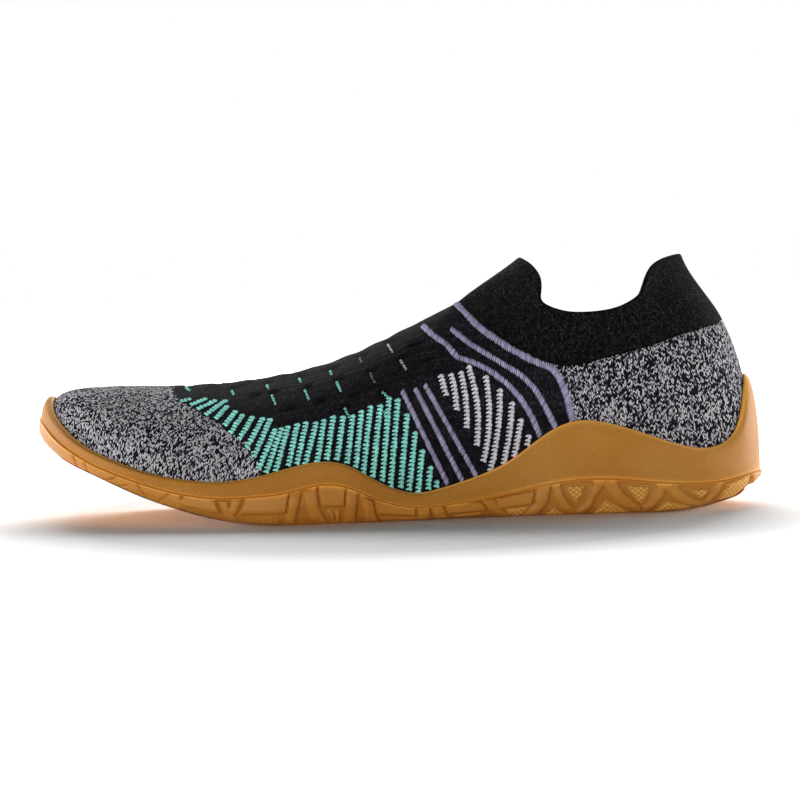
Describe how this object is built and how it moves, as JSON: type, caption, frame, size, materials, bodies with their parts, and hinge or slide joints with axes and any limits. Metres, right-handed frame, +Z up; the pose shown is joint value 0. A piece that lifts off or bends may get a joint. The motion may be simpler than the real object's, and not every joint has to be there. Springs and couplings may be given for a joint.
{
  "type": "barefoot shoe",
  "caption": "Slip-on knit barefoot shoe with a seamless hollow upper, ribbed ankle collar with front and back tabs, and a thin wavy gum rubber cup sole.",
  "frame": {"origin": "centre of the shoe's length and width, on the floor plane that the heel and forefoot rest on", "axes": "+Z up, -X towards the toe, +X towards the heel, -Y is the outer side of this left shoe, +Y the inner side"},
  "size_m": [0.2791, 0.101, 0.0972],
  "materials": {
    "knit_marl": "heathered knit, matt, with coloured stripes",
    "rib_black": "fine black rib knit, matt",
    "gum_rubber": "amber gum rubber, satin, finely knurled above the step",
    "footbed": "thin black foam footbed with a knit cover"
  },
  "bodies": {
    "root": {"upper": "knit_marl", "collar": "rib_black", "cup_sole": "gum_rubber", "insole": "footbed"}
  },
  "joints": []
}
